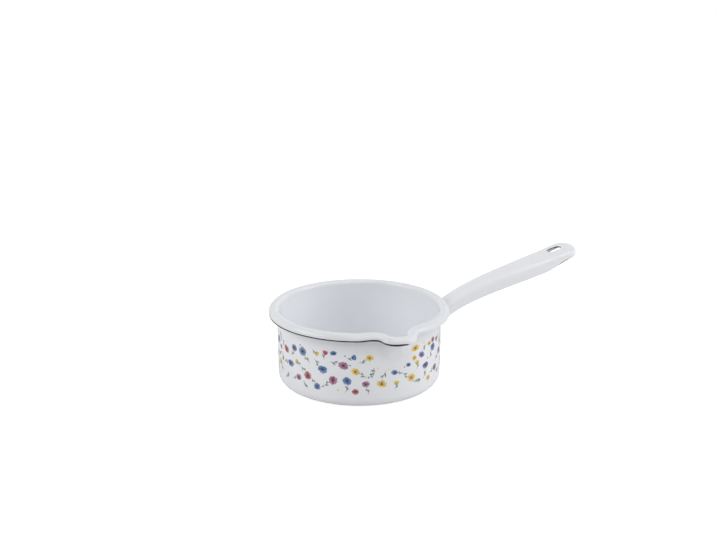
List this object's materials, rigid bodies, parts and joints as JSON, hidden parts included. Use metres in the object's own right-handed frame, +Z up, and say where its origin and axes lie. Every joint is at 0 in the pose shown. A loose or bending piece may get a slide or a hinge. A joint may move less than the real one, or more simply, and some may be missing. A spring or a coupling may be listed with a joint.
{
  "type": "saucepan",
  "caption": "Small enamelled steel saucepan with a rolled rim, a pouring lip and a hollow upswept handle with a hanging slot.",
  "frame": {"origin": "centre of the flat underside of the pan's base", "axes": "+Z up along the pan's axis, +X from the pan's axis along the handle towards its tip, +Y away from the pouring lip, which points along -Y"},
  "size_m": [0.2876, 0.1604, 0.0929],
  "materials": {
    "white_enamel": "glossy vitreous enamel on sheet steel",
    "bare_dark_edge": "satin dark ground coat on the sheet's bare edge",
    "enamelled_weld": "glossy enamel over a weld bead"
  },
  "bodies": {
    "root": {"pan_body": "white_enamel", "rim_edge": "bare_dark_edge", "handle_top_shell": "white_enamel", "handle_underside": "white_enamel", "handle_seam_welds": "enamelled_weld", "handle_tip_edge": "bare_dark_edge", "hanging_slot_edge": "bare_dark_edge", "handle_root_weld": "enamelled_weld"}
  },
  "joints": []
}
